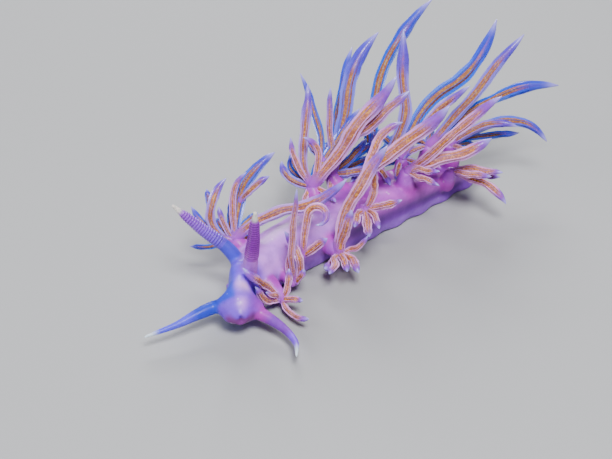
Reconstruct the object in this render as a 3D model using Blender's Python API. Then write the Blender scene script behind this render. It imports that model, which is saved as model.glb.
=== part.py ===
"""Violet sea slug with gill-like cerata, crawling on a level floor, life size.

Metres, +Z up. The sole lies in the plane z = 0, the origin is under the middle of the trunk, the
animal faces -X and turns its head to its own left, which is -Y. The tables give millimetres.
"""
import math

import bmesh
import bpy
import numpy as np

MM = 0.001
GAP = 0.3

# The plane in which the cerata are laid out: it faces a viewer in front of the animal's left side.
VIEW_ROUND = math.radians(-38.5)
VIEW_ABOVE = math.radians(35.0)
RIGHT = np.array([math.cos(VIEW_ROUND), math.sin(VIEW_ROUND), 0.0])
NEARER = np.array([
    math.sin(VIEW_ROUND) * math.cos(VIEW_ABOVE),
    -math.cos(VIEW_ROUND) * math.cos(VIEW_ABOVE),
    math.sin(VIEW_ABOVE),
])
UPWARD = np.cross(NEARER, RIGHT)
VERTICAL = np.array([0.0, 0.0, 1.0])

# Stations along the back, from the mouth: distance, x, y, height of the centre, half width, half height.
BODY = np.array([
    (0.0, -22.6, -8.1, 2.9, 1.0, 1.0),
    (0.7, -22.3, -7.5, 3.0, 1.7, 1.6),
    (1.6, -21.8, -6.8, 3.0, 2.1, 2.0),
    (2.8, -21.1, -5.8, 3.0, 1.85, 2.2),
    (4.4, -20.1, -4.5, 3.0, 1.45, 2.4),
    (6.5, -18.5, -3.1, 3.0, 1.75, 2.6),
    (9.0, -16.3, -1.9, 2.9, 2.4, 2.8),
    (13.5, -12.1, -0.5, 2.8, 3.0, 2.8),
    (19.0, -6.7, 0.0, 2.8, 3.1, 2.8),
    (27.0, 1.3, 0.1, 2.8, 3.0, 2.8),
    (32.5, 6.8, 0.0, 2.6, 2.7, 2.6),
    (38.5, 12.8, -0.2, 2.1, 2.0, 2.1),
    (43.0, 17.3, -0.4, 1.4, 1.2, 1.4),
    (46.0, 20.3, -0.6, 0.8, 0.6, 0.8),
    (47.5, 21.8, -0.7, 0.5, 0.3, 0.5),
])
HEAD_END = 7.0
FOOT_START, FOOT_FADE = 6.6, 2.0
CUT_OVERLAP = 0.5
TRUNK_ENDS = {"trunk_front": 17.0, "trunk_middle": 27.0, "trunk_rear": 37.0, "tail": 47.5}
RING_STEP = 1.25
RING_POINTS = 22
SOLE_DROP = 1.16
BACK_FULLNESS = 0.9
FLANK_FULLNESS = 0.7
SOLE_FULLNESS = 0.6
FOOT_MARGIN = 0.35
FOOT_MARGIN_HEIGHT = 0.6
# The ridges on both sides of the back that the stalks rise from: angle from the top, width there,
# height, and the stations between which they rise and fall.
RIDGE_ANGLE, RIDGE_SPREAD, RIDGE_HEIGHT = 48.0, 26.0, 1.0
RIDGE_RISE, RIDGE_FALL = (16.0, 26.0), (40.0, 46.0)

# Swellings of the head: station, angle from the top towards the right, height, width.
SWELLINGS = {
    "feeler_root_right": (2.2, 84, 0.85, 1.1),
    "feeler_root_left": (2.2, -98, 0.85, 1.1),
    "horn_root_right": (6.3, 24, 0.5, 1.0),
    "horn_root_left": (5.9, -20, 0.5, 1.0),
    "lip_right": (0.4, 105, 0.35, 0.7),
    "lip_left": (0.4, -105, 0.35, 0.7),
    "chin": (0.9, 180, -0.4, 0.6),
    "brow": (3.4, 0, 0.3, 1.3),
}
HEAD_STEP = 0.4
HEAD_POINTS = 32

# The lips, from the head's first ring in to the slit of the mouth: how far forward, and the shares
# of that ring's width and height.
LIPS = ((0.3, 0.78, 0.8), (0.4, 0.46, 0.62), (0.12, 0.14, 0.46))
MOUTH_DEPTH = 0.4

# Feelers and horns: the points that the middle line runs through, and the radii from root to tip.
TENTACLES = {
    "oral_tentacle_right": (
        ((-21.4, -5.5, 3.0), (-23.3, -4.7, 2.9), (-26.0, -4.3, 2.7), (-28.4, -4.1, 2.4), (-32.6, -3.1, 1.9)),
        (0.74, 0.8, 0.78, 0.6, 0.42, 0.33, 0.17),
    ),
    "oral_tentacle_left": (
        ((-21.0, -6.7, 2.8), (-19.9, -8.5, 2.3), (-19.1, -12.7, 1.6), (-19.5, -14.3, 1.6), (-21.1, -16.5, 1.8)),
        (0.9, 0.74, 0.52, 0.4, 0.16),
    ),
}
RHINOPHORES = {
    "rhinophore_right": (
        ((-17.8, -1.7, 4.6), (-18.5, -0.6, 6.3), (-20.6, 1.9, 8.9), (-23.0, 4.3, 12.0)),
        (0.95, 0.85, 0.74, 0.66, 0.5, 0.18),
    ),
    "rhinophore_left": (
        ((-18.1, -3.75, 4.6), (-18.3, -4.3, 6.4), (-18.5, -5.3, 10.4), (-18.7, -6.0, 14.7)),
        (0.95, 0.9, 0.76, 0.65, 0.52, 0.2),
    ),
}
FEELER_SIDES = 12
FEELER_POINTS = 15
RHINOPHORE_POINTS = 24
RING_COUNT = 18
RING_FROM, RING_TO = 0.3, 0.84
RING_HEIGHT = 0.07

# The drawn-out front corners of the foot: side, and how far out and back they reach.
FOOT_CORNERS = {"foot_corner_left": -1, "foot_corner_right": 1}
CORNER_STATION = FOOT_START + 1.6
CORNER_ROOT, CORNER_OUT, CORNER_BACK = 1.6, 1.9, 1.9
CORNER_RADII = (0.42, 0.36, 0.2)
CORNER_LIFT = 0.02
CORNER_POINTS = 7

# Each cluster: station and angle of the stalk's root, station, angle and reach of its head, its radius,
# and its cerata. A ceras has its length, three headings in the plane of view (0 to the right, 90 up),
# its lean out of that plane towards the viewer, its radius, and the share of the row before at which
# it forks off, if it does.
CLUSTERS = {
    "cerata_right_1": (11.0, 66, 10.7, 56, 4.2, 0.85, (
        (7.0, (170, 140, 120), -10, 0.32),
        (5.8, (205, 186, 173), -15, 0.28),
        (9.6, (178, 88, 42), 4, 0.48),
        (3.4, (82, 100, 106), -5, 0.32, 0.45),
        (4.6, (132, 114, 100), 12, 0.32),
        (6.2, (120, 86, 83), -22, 0.28),
        (8.8, (92, 94, 37), 12, 0.34),
        (12.2, (91, 69, 34), -8, 0.6),
        (4.8, (57, 40, 26), 6, 0.38, 0.35),
        (15.8, (50, 8, 48), 12, 0.6),
        (6.5, (150, 130, 120), -55, 0.4),
        (7.5, (70, 50, 40), -55, 0.42),
        (6.0, (0, -10, 20), -50, 0.38),
    )),
    "cerata_right_2": (22.6, 50, 22.7, 40, 5.2, 0.9, (
        (5.3, (168, 150, 86), 0, 0.42),
        (5.3, (146, 140, 60), -14, 0.3),
        (6.8, (128, 116, 92), 14, 0.34),
        (12.8, (117, 80, 92), 4, 0.5),
        (15.4, (60, 104, 113), -14, 0.4),
        (7.6, (66, 84, 168), 24, 0.36),
        (17.6, (50, 51, 56), 20, 0.74),
        (10.4, (44, 38, 40), 12, 0.54, 0.36),
        (8.0, (140, 120, 110), -50, 0.46),
        (9.0, (60, 70, 80), -45, 0.46),
    )),
    "cerata_right_3": (26.8, 60, 26.2, 44, 5.6, 0.95, (
        (19.0, (74, 83, 46), 0, 0.74),
        (19.0, (83, 83, 72), -26, 0.44),
        (11.0, (92, 92, 86), 16, 0.36),
        (10.8, (66, 60, 58), 20, 0.54),
        (8.5, (100, 80, 70), -55, 0.5),
        (8.0, (30, 20, 40), -45, 0.46),
    )),
    "cerata_right_4": (32.4, 54, 32.0, 30, 4.8, 0.9, (
        (23.4, (98, 72, 41), -6, 0.6),
        (18.2, (34, 95, 88), 10, 0.64),
        (9.5, (110, 90, 80), -50, 0.5),
        (9.0, (60, 50, 60), -55, 0.48),
        (7.0, (20, 10, 30), -60, 0.42),
    )),
    "cerata_right_5": (35.6, 34, 35.4, 14, 4.7, 0.85, (
        (23.4, (79, 35, 74), -14, 0.72),
        (12.8, (66, 45, 34), 16, 0.5),
        (8.5, (100, 80, 70), -52, 0.46),
    )),
    "cerata_right_6": (39.4, 36, 39.0, 4, 5.9, 0.9, (
        (18.4, (46, 52, 48), 6, 0.6),
        (19.4, (44, 30, -4), -8, 0.63),
        (9.0, (80, 70, 70), -50, 0.48),
        (7.5, (20, 0, -10), -50, 0.42),
    )),
    "cerata_right_7": (43.0, 16, 42.4, 3, 5.4, 0.8, (
        (14.4, (36, 14, -58), -6, 0.54),
        (9.4, (38, 22, -24), 10, 0.44),
        (10.2, (26, 5, 6), -20, 0.4),
        (3.4, (-8, -33, -33), 24, 0.3),
        (6.5, (20, 0, -20), -52, 0.38),
    )),
    "cerata_left_1": (8.6, -96, 7.3, -110, 4.9, 0.75, (
        (7.2, (147, 133, 136), 34, 0.42),
        (4.8, (184, 159, 128), 34, 0.36),
        (2.8, (157, 152, 146), 40, 0.3),
        (4.0, (56, 80, 94), 18, 0.36),
        (3.2, (8, -2, -12), 40, 0.34),
        (5.8, (-75, -34, 10), 44, 0.32),
    )),
    "cerata_left_2": (11.9, -94, 11.4, -104, 4.8, 0.75, (
        (7.0, (50, 114, 124), 14, 0.42),
        (7.0, (128, 74, 90), 30, 0.38),
        (2.6, (50, 56, 60), 40, 0.34),
        (14.0, (102, 84, 84), 38, 0.34),
    )),
    "cerata_left_3": (14.6, -66, 14.6, -73, 4.3, 0.7, (
        (11.2, (92, 76, -188), 26, 0.42),
        (4.2, (40, 37, 34), 34, 0.44),
    )),
    "cerata_left_4": (20.0, -80, 19.7, -90, 5.2, 0.85, (
        (15.2, (88, 62, 52), 22, 0.7),
        (6.8, (76, 73, 72), 38, 0.54),
        (3.4, (-110, -124, -176), 40, 0.44),
        (4.4, (-104, -116, -126), 52, 0.36),
        (4.6, (-10, -50, -66), 42, 0.44),
        (4.2, (-30, -74, -82), 54, 0.36),
        (4.8, (-6, 34, 62), 24, 0.28),
    )),
    "cerata_left_5": (24.9, -60, 24.9, -49, 5.7, 0.8, (
        (4.2, (-82, -84, -86), 36, 0.5),
        (5.0, (8, 14, 20), 26, 0.42),
        (4.0, (-20, -64, -72), 42, 0.34),
        (3.2, (-138, -120, -112), 36, 0.38),
        (6.6, (48, 88, 99), 30, 0.42),
    )),
    "cerata_left_6": (28.2, -30, 27.5, -9, 5.5, 0.85, (
        (14.6, (48, 33, 46), 26, 0.7),
        (8.8, (74, 66, 14), 8, 0.45),
    )),
    "cerata_left_7": (33.6, -46, 33.3, -23, 5.4, 0.85, (
        (15.4, (33, 44, 33), 20, 0.56),
        (11.4, (26, 12, 36), 6, 0.66),
        (4.8, (10, -4, -2), 34, 0.34),
        (5.0, (-8, -30, -28), 30, 0.34),
    )),
    "cerata_left_8": (40.2, -66, 39.8, -40, 5.1, 0.7, (
        (6.8, (2, -4, -6), 24, 0.42),
        (6.2, (-8, -8, -7), 6, 0.38),
        (6.0, (-12, -10, -10), 38, 0.36),
        (8.4, (-14, -27, -62), 14, 0.46),
    )),
}
CERAS_POINTS = 14
CERAS_FATNESS = 1.28
THIN_SIDES, THICK_SIDES, THIN_BELOW = 6, 7, 0.4
MM_PER_RING = 2.2
CERAS_SWELL = ((0.0, 0.1, 0.35, 0.72, 0.88, 1.0), (0.8, 0.82, 1.0, 0.98, 0.68, 0.14))
CERAS_WANDER = 0.06
STALK_SIDES = 10
STALK_ROOT_REACH = 2.0
STALK_TAPER = (1.5, 1.55, 1.45, 1.25, 1.15, 1.1)
SETTLE_ROUNDS = 80
CLEAR = 0.42
CLEAR_IN_CLUSTER = 0.15
DEPTH_FIRST = 0.45

COLOURS = {
    "head": (0.71, 0.42, 0.72),
    "trunk": (0.74, 0.40, 0.74),
    "tail": (0.55, 0.30, 0.68),
    "tentacle": (0.45, 0.36, 0.80),
    "rhinophore": (0.58, 0.22, 0.60),
    "cerata": (0.74, 0.47, 0.52),
}
WET_ROUGHNESS = 0.28


def clear_scene():
    """Empty the scene, so that only the animal is left in it."""
    for obj in list(bpy.data.objects):
        bpy.data.objects.remove(obj, do_unlink=True)


def flesh(name):
    """A wet, translucent-looking flesh material of one colour."""
    material = bpy.data.materials.new(name)
    material.use_nodes = True
    shader = material.node_tree.nodes["Principled BSDF"]
    shader.inputs["Base Color"].default_value = (*COLOURS[name], 1.0)
    shader.inputs["Roughness"].default_value = WET_ROUGHNESS
    shader.inputs["Metallic"].default_value = 0.0
    return material


def smooth_between(low, high, value):
    """0 below low, 1 above high, with a smooth rise between them."""
    share = np.clip((np.asarray(value, float) - low) / (high - low), 0.0, 1.0)
    return share * share * (3.0 - 2.0 * share)


def station(distance):
    """Centre, half width and half height of the body at distances from the mouth."""
    columns = [np.interp(distance, BODY[:, 0], BODY[:, k]) for k in range(1, 6)]
    return np.stack(columns[:3], -1), columns[3], columns[4]


def across(distance):
    """Unit vectors to the animal's right at distances from the mouth."""
    step = 0.6
    ahead = station(np.maximum(distance - step, 0.0))[0]
    behind = station(np.minimum(distance + step, BODY[-1, 0]))[0]
    back = behind - ahead
    flat = np.stack([-back[..., 1], back[..., 0], 0.0 * back[..., 0]], -1)
    return flat / np.linalg.norm(flat, axis=-1, keepdims=True)


def beside(distance, angle, reach):
    """The point at an angle from the top, towards the right, and a reach from the body's centre line."""
    turn = math.radians(angle)
    centre = station(distance)[0]
    return centre + reach * (math.sin(turn) * across(distance) + math.cos(turn) * VERTICAL)


def body_ring(distance, grow, points):
    """The body's outline at a station: round above, with a flat sole below where the foot is."""
    centre, half_width, half_height = station(distance)
    turn = np.linspace(0.0, 2.0 * math.pi, points, endpoint=False)
    side, top = np.sin(turn), np.cos(turn)
    foot = float(smooth_between(FOOT_START - FOOT_FADE, FOOT_START, distance))
    below = top < 0.0
    wide = np.where(below, np.abs(side) ** (1.0 + (FLANK_FULLNESS - 1.0) * foot), np.abs(side) ** BACK_FULLNESS)
    deep = np.where(below, np.abs(top) ** (1.0 + (SOLE_FULLNESS - 1.0) * foot), np.abs(top))
    drop = np.where(below, 1.0 + (SOLE_DROP - 1.0) * foot, 1.0)
    x = (half_width + grow) * np.sign(side) * wide
    z = (half_height + grow) * np.sign(top) * deep * drop
    x = x + FOOT_MARGIN * foot * side * np.exp(-((centre[2] + z) / FOOT_MARGIN_HEIGHT) ** 2)
    steep = np.degrees(np.arctan2(np.abs(x), z))
    ridge = RIDGE_HEIGHT * smooth_between(*RIDGE_RISE, distance) * (1.0 - smooth_between(*RIDGE_FALL, distance))
    out = 1.0 + ridge * np.exp(-((steep - RIDGE_ANGLE) / RIDGE_SPREAD) ** 2) / half_height
    ring = centre + (out * x)[:, None] * across(distance) + (out * z)[:, None] * VERTICAL
    ring[:, 2] = np.maximum(ring[:, 2], -grow)
    return ring


def swollen(ring, distance):
    """Push the points of a head ring out, or in, by the head's swellings."""
    centre = station(distance)[0]
    out = ring - centre
    out /= np.linalg.norm(out, axis=1, keepdims=True)
    push = np.zeros(len(ring))
    for where, angle, height, width in SWELLINGS.values():
        _, half_width, half_height = station(where)
        turn = math.radians(angle)
        reach = math.hypot(half_width * math.sin(turn), half_height * math.cos(turn))
        spot = beside(where, angle, reach)
        push += height * np.exp(-(((ring - spot) / width) ** 2).sum(1))
    return ring + push[:, None] * out


def head_rings(grow):
    """Rings from the slit of the mouth out over the lips and back to the neck."""
    centre, half_width, half_height = station(0.0)
    ahead = unit(centre - station(1.0)[0])
    turn = np.linspace(0.0, 2.0 * math.pi, HEAD_POINTS, endpoint=False)
    rings = []
    for forward, wide, high in reversed(LIPS):
        x = wide * (half_width + grow) * np.sin(turn)
        z = high * (half_height + grow) * np.cos(turn)
        rings.append(centre + (forward + grow) * ahead + x[:, None] * across(0.0) + z[:, None] * VERTICAL)
    for distance in np.linspace(0.0, HEAD_END, int(round(HEAD_END / HEAD_STEP)) + 1):
        rings.append(swollen(body_ring(distance, grow, HEAD_POINTS), distance))
    return np.array(rings)


def mouth_bottom():
    """The deepest point of the mouth."""
    centre = station(0.0)[0]
    return centre + MOUTH_DEPTH * unit(station(1.0)[0] - centre)


def trunk_rings(start, end, grow):
    count = max(3, int(round((end - start) / RING_STEP)) + 1)
    return np.array([body_ring(d, grow, RING_POINTS) for d in np.linspace(start, end, count)])


def mesh_from_rings(name, rings, first_pole=None, last_pole=None):
    """A closed skin over rings of points, each end closed flat, or drawn in to a pole."""
    count, around = rings.shape[:2]
    points = [tuple(p) for p in rings.reshape(-1, 3) * MM]
    faces = []
    for i in range(count - 1):
        for j in range(around):
            k = (j + 1) % around
            faces.append((i * around + j, i * around + k, (i + 1) * around + k, (i + 1) * around + j))
    for pole, base in ((first_pole, 0), (last_pole, (count - 1) * around)):
        rim = [base + j for j in range(around)]
        if base == 0:
            rim = rim[::-1]
        if pole is None:
            faces.append(tuple(rim))
            continue
        points.append(tuple(np.asarray(pole) * MM))
        tip = len(points) - 1
        faces += [(rim[j], rim[(j + 1) % around], tip) for j in range(around)]
    mesh = bpy.data.meshes.new(name)
    mesh.from_pydata(points, [], faces)
    outward(mesh)
    return mesh


def outward(mesh):
    """Turn the faces of a closed mesh outwards and make its ends triangles."""
    shape = bmesh.new()
    shape.from_mesh(mesh)
    bmesh.ops.recalc_face_normals(shape, faces=shape.faces)
    if shape.calc_volume(signed=True) < 0.0:
        bmesh.ops.reverse_faces(shape, faces=shape.faces)
    bmesh.ops.triangulate(shape, faces=[f for f in shape.faces if len(f.verts) > 4])
    shape.to_mesh(mesh)
    shape.free()


def through(points, count):
    """Evenly spaced points on a smooth curve through a few given ones."""
    given = np.asarray(points, float)
    run = np.concatenate([[0.0], np.cumsum(np.linalg.norm(np.diff(given, axis=0), axis=1))])
    slope = np.gradient(given, run, axis=0)
    at = np.linspace(0.0, run[-1], count)
    k = np.clip(np.searchsorted(run, at, side="right") - 1, 0, len(run) - 2)
    span = (run[k + 1] - run[k])[:, None]
    t = (at - run[k])[:, None] / span
    return (
        (2 * t**3 - 3 * t**2 + 1) * given[k] + (t**3 - 2 * t**2 + t) * span * slope[k]
        + (3 * t**2 - 2 * t**3) * given[k + 1] + (t**3 - t**2) * span * slope[k + 1]
    )


def tube_rings(path, radii, sides):
    """Rings square to a path, with no twist between one and the next."""
    along = np.gradient(path, axis=0)
    along /= np.linalg.norm(along, axis=1, keepdims=True)
    aside = np.cross(along[0], VERTICAL if abs(along[0][2]) < 0.9 else RIGHT)
    turn = np.linspace(0.0, 2.0 * math.pi, sides, endpoint=False)
    rings = []
    for point, direction, radius in zip(path, along, radii):
        aside = aside - (aside @ direction) * direction
        aside /= np.linalg.norm(aside)
        third = np.cross(direction, aside)
        rings.append(point + radius * (np.cos(turn)[:, None] * aside + np.sin(turn)[:, None] * third))
    return np.array(rings)


def tube(name, path, radii, sides):
    """A closed tube whose two ends are drawn in to poles half a radius beyond the path."""
    first = path[0] - 0.5 * radii[0] * unit(path[1] - path[0])
    last = path[-1] + 0.8 * radii[-1] * unit(path[-1] - path[-2])
    return mesh_from_rings(name, tube_rings(path, radii, sides), first, last)


def unit(vector):
    return vector / np.linalg.norm(vector)


def spread(values, count):
    """Values read evenly from a short list."""
    return np.interp(np.linspace(0.0, 1.0, count), np.linspace(0.0, 1.0, len(values)), values)


def ceras_tube(name, path, radii):
    """A ceras with a ring about every two millimetres, and closer to its root and its tip."""
    length = np.linalg.norm(np.diff(path, axis=0), axis=1).sum()
    count = int(np.clip(round(length / MM_PER_RING) + 2, 4, 9))
    share = np.linspace(0.0, 1.0, count + 1)
    share[-1] = 1.0 - 0.3 / count
    share = np.append(share, 1.0)
    even = np.linspace(0.0, 1.0, len(path))
    middle = np.stack([np.interp(share, even, path[:, k]) for k in range(3)], -1)
    thick = np.interp(share, even, radii)
    sides = THIN_SIDES if radii.max() < THIN_BELOW else THICK_SIDES
    return tube(name, middle, thick, sides)


def ceras_path(start, length, headings, lean):
    """A middle line that turns from heading to heading in the plane of view and leans out of it."""
    share = (np.arange(CERAS_POINTS - 1) + 0.5) / (CERAS_POINTS - 1)
    turn = np.radians(np.interp(share, (0.0, 0.5, 1.0), headings))
    flat = math.cos(math.radians(lean))
    steps = flat * (np.cos(turn)[:, None] * RIGHT + np.sin(turn)[:, None] * UPWARD)
    steps = steps + math.sin(math.radians(lean)) * NEARER
    return np.vstack([start, start + np.cumsum(steps * length / (CERAS_POINTS - 1), 0)])


def laid_out():
    """Every ceras as drawn in the table: its cluster, its middle line and its radii."""
    draw = np.random.default_rng(7)
    share = np.linspace(0.0, 1.0, CERAS_POINTS)
    clusters, paths, radii = [], [], []
    for name, (_, _, where, angle, reach, _, rows) in CLUSTERS.items():
        head = beside(where, angle, reach)
        for row in rows:
            length, headings, lean, radius = row[:4]
            start = head
            if len(row) > 4:
                start = paths[-1][int(round(row[4] * (CERAS_POINTS - 1)))]
            wander = 1.0 + CERAS_WANDER * draw.standard_normal(CERAS_POINTS)
            clusters.append(name)
            paths.append(ceras_path(start, length, headings, lean))
            radii.append(CERAS_FATNESS * radius * np.interp(share, *CERAS_SWELL) * wander)
    return clusters, np.array(paths), np.array(radii)


def pushed_off_body(points, radii):
    """How far each point has to move to clear the body."""
    distances = np.linspace(0.5, BODY[-1, 0], 90)
    centres, half_width, half_height = station(distances)
    nearest = ((points[:, None, :] - centres[None]) ** 2).sum(-1).argmin(1)
    offset = points - centres[nearest]
    side = (offset * across(distances)[nearest]).sum(1)
    wide = half_width[nearest] + radii + CLEAR
    high = half_height[nearest] + radii + CLEAR
    fill = np.maximum(np.hypot(side / wide, offset[:, 2] / high), 0.05)
    return offset * np.clip(1.0 / fill - 1.0, 0.0, 1.0)[:, None]


def settled(clusters, paths, radii, fixed_points, fixed_radii, fixed_names):
    """Bend the cerata clear of one another, of the body, of the feelers and of the floor.

    Each round moves every point away from what is too near it, more the further it is from its
    root and more in depth than in the plane of view, and smooths the moves along each ceras.
    """
    count, length = paths.shape[:2]
    names = sorted(set(clusters) | set(fixed_names))
    owner = np.repeat([names.index(c) for c in clusters], length)
    owner = np.concatenate([owner, [names.index(n) for n in fixed_names]])
    line = np.concatenate([np.repeat(np.arange(count), length), np.full(len(fixed_points), -1)])
    size = np.concatenate([radii.reshape(-1), fixed_radii])
    share = np.tile(np.linspace(0.0, 1.0, length), count)
    freedom = smooth_between(0.02, 0.45, share)
    same = owner[:, None] == owner[None, :]
    root = np.concatenate([share, np.zeros(len(fixed_points))]) < 0.3
    wanted = size[:, None] + size[None, :] + np.where(same, CLEAR_IN_CLUSTER, CLEAR)
    wanted[same & (root[:, None] | root[None, :])] = 0.0
    wanted[(line[:, None] == line[None, :])] = 0.0
    now = paths.reshape(-1, 3).copy()
    for _ in range(SETTLE_ROUNDS):
        everything = np.vstack([now, fixed_points])
        between = now[:, None, :] - everything[None]
        apart = np.maximum(np.linalg.norm(between, axis=-1), 1e-3)
        short = np.clip(wanted[:len(now)] - apart, 0.0, None)
        move = (between / apart[..., None] * short[..., None]).sum(1)
        move *= 0.35
        depth = (move @ NEARER)[:, None] * NEARER
        move = depth + DEPTH_FIRST * (move - depth)
        move += 0.5 * pushed_off_body(now, size[:len(now)])
        move[:, 2] += 0.5 * np.clip(size[:len(now)] + CLEAR - now[:, 2], 0.0, None)
        move = (move * freedom[:, None]).reshape(count, length, 3)
        for _ in range(3):
            move[:, 1:-1] = 0.25 * move[:, :-2] + 0.5 * move[:, 1:-1] + 0.25 * move[:, 2:]
            move[:, -1] = 0.5 * move[:, -1] + 0.5 * move[:, -2]
        now = now + move.reshape(-1, 3)
    return now.reshape(count, length, 3)


def new_object(name, mesh, material=None):
    obj = bpy.data.objects.new(name, mesh)
    bpy.context.scene.collection.objects.link(obj)
    if material is not None:
        mesh.materials.clear()
        mesh.materials.append(material)
        mesh.shade_smooth()
    return obj


def applied(obj, name):
    """The object's mesh with its modifiers applied."""
    graph = bpy.context.evaluated_depsgraph_get()
    mesh = bpy.data.meshes.new_from_object(obj.evaluated_get(graph))
    mesh.name = name
    return mesh


def boolean(obj, operation, collection):
    step = obj.modifiers.new(operation.lower(), "BOOLEAN")
    step.operation = operation
    step.operand_type = "COLLECTION"
    step.collection = collection
    step.solver = "EXACT"
    return step


def keep_largest(mesh):
    """Drop all but the largest closed surface of a mesh."""
    shape = bmesh.new()
    shape.from_mesh(mesh)
    islands, seen = [], set()
    for face in shape.faces:
        if face in seen:
            continue
        island, queue = [], [face]
        seen.add(face)
        while queue:
            one = queue.pop()
            island.append(one)
            for edge in one.edges:
                for other in edge.link_faces:
                    if other not in seen:
                        seen.add(other)
                        queue.append(other)
        islands.append(island)
    islands.sort(key=len)
    loose = [face for island in islands[:-1] for face in island]
    bmesh.ops.delete(shape, geom=loose, context="FACES")
    shape.to_mesh(mesh)
    shape.free()


def fused(name, meshes, cutters, material):
    """One node made of several closed meshes, cut clear of what it grows from."""
    pieces = bpy.data.collections.new(name + "_pieces")
    base = new_object(name, meshes[0])
    for i, mesh in enumerate(meshes[1:]):
        pieces.objects.link(bpy.data.objects.new(f"{name}_piece_{i}", mesh))
    bpy.context.scene.collection.children.link(pieces)
    if pieces.objects:
        boolean(base, "UNION", pieces)
        base.data = applied(base, name)
        base.modifiers.clear()
    for obj in list(pieces.objects):
        bpy.data.objects.remove(obj, do_unlink=True)
    bpy.data.collections.remove(pieces)
    boolean(base, "DIFFERENCE", cutters)
    base.data = applied(base, name)
    base.modifiers.clear()
    keep_largest(base.data)
    base.data.materials.clear()
    base.data.materials.append(material)
    base.data.shade_smooth()
    return base


def ringed(path, radii):
    """Rings of a rhinophore, with a raised collar at each of its folds, and smooth root and tip."""
    steps = 2 * RING_COUNT + 1
    shares = np.concatenate([
        np.linspace(0.0, RING_FROM, 5)[:-1], np.linspace(RING_FROM, RING_TO, steps), np.linspace(RING_TO, 1.0, 5)[1:],
    ])
    inside = (shares >= RING_FROM) & (shares <= RING_TO)
    fold = np.zeros(len(shares))
    fold[inside] = (np.arange(inside.sum()) % 2) * RING_HEIGHT
    even = np.linspace(0.0, 1.0, len(path))
    middle = np.stack([np.interp(shares, even, path[:, k]) for k in range(3)], -1)
    thick = np.interp(shares, np.linspace(0.0, 1.0, len(radii)), radii) + fold
    return middle, thick


def main():
    clear_scene()
    materials = {name: flesh(name) for name in COLOURS}
    cutters = bpy.data.collections.new("clearances")
    bpy.context.scene.collection.children.link(cutters)
    mouth = mouth_bottom()
    whole = trunk_rings(HEAD_END - CUT_OVERLAP, BODY[-1, 0], GAP)
    for name, mesh in (
        ("head_clearance", mesh_from_rings("head_clearance", head_rings(GAP), mouth)),
        ("trunk_clearance", mesh_from_rings("trunk_clearance", whole)),
    ):
        helper = bpy.data.objects.new(name, mesh)
        helper.hide_render = True
        helper.display_type = "WIRE"
        cutters.objects.link(helper)

    new_object("head", mesh_from_rings("head", head_rings(0.0), mouth), materials["head"])
    start = HEAD_END + GAP
    for name, end in TRUNK_ENDS.items():
        material = materials["tail" if name == "tail" else "trunk"]
        new_object(name, mesh_from_rings(name, trunk_rings(start, end, 0.0)), material)
        start = end + GAP

    fixed = []
    for name, (points, radii) in TENTACLES.items():
        path = through(points, FEELER_POINTS)
        thick = spread(radii, FEELER_POINTS)
        fixed.append((name, path, thick))
        fused(name, [tube(name, path, thick, FEELER_SIDES)], cutters, materials["tentacle"])
    for name, (points, radii) in RHINOPHORES.items():
        path = through(points, RHINOPHORE_POINTS)
        fixed.append((name, path, spread(radii, RHINOPHORE_POINTS) + RING_HEIGHT))
        middle, thick = ringed(path, radii)
        fused(name, [tube(name, middle, thick, FEELER_SIDES)], cutters, materials["rhinophore"])
    for name, side in FOOT_CORNERS.items():
        root = beside(CORNER_STATION, 90 * side, CORNER_ROOT)
        out = side * across(CORNER_STATION)
        tip = root + CORNER_OUT * out + np.array([CORNER_BACK, 0.0, 0.0])
        path = through([root, root + 0.6 * CORNER_OUT * out, tip], CORNER_POINTS)
        thick = spread(CORNER_RADII, CORNER_POINTS)
        path[:, 2] = thick + CORNER_LIFT
        fixed.append((name, path, thick))
        fused(name, [tube(name, path, thick, STALK_SIDES)], cutters, materials["trunk"])

    stalks = {}
    for name, (root_at, root_angle, head_at, head_angle, reach, radius, _) in CLUSTERS.items():
        root = beside(root_at, root_angle, STALK_ROOT_REACH)
        head = beside(head_at, head_angle, reach)
        path = through([root, 0.5 * (root + head), head], len(STALK_TAPER))
        thick = radius * np.array(STALK_TAPER)
        stalks[name] = (path, thick)
        fixed.append((name, path, thick))

    clusters, paths, radii = laid_out()
    fixed_points = np.vstack([path for _, path, _ in fixed])
    fixed_radii = np.concatenate([thick for _, _, thick in fixed])
    fixed_names = [name for name, path, _ in fixed for _ in path]
    paths = settled(clusters, paths, radii, fixed_points, fixed_radii, fixed_names)
    for name in CLUSTERS:
        meshes = [tube(name, *stalks[name], STALK_SIDES)]
        for cluster, path, thick in zip(clusters, paths, radii):
            if cluster == name:
                meshes.append(ceras_tube(name, path, thick))
        fused(name, meshes, cutters, materials["cerata"])


main()
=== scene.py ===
"""Violet sea slug crawling on a level floor, life size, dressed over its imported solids."""

import math

import bpy
import numpy as np
from mathutils import Matrix


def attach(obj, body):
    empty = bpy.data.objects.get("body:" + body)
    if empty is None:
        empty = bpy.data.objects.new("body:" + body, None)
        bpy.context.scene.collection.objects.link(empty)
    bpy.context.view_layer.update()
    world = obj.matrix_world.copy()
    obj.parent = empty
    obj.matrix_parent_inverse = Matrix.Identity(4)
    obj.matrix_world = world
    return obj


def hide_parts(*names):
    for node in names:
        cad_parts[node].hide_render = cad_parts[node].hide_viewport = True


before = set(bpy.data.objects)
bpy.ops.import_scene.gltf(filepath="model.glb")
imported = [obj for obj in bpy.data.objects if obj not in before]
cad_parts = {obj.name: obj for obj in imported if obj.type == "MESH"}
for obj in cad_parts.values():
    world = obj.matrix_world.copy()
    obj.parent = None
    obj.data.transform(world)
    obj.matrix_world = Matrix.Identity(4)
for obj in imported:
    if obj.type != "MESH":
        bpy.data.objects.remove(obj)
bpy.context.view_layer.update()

# Camera: it looks down at the animal from in front of its left side. Sizes here and below are
# millimetres, and the animal faces -X with its sole in the plane z = 0.
MM = 0.001
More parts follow.
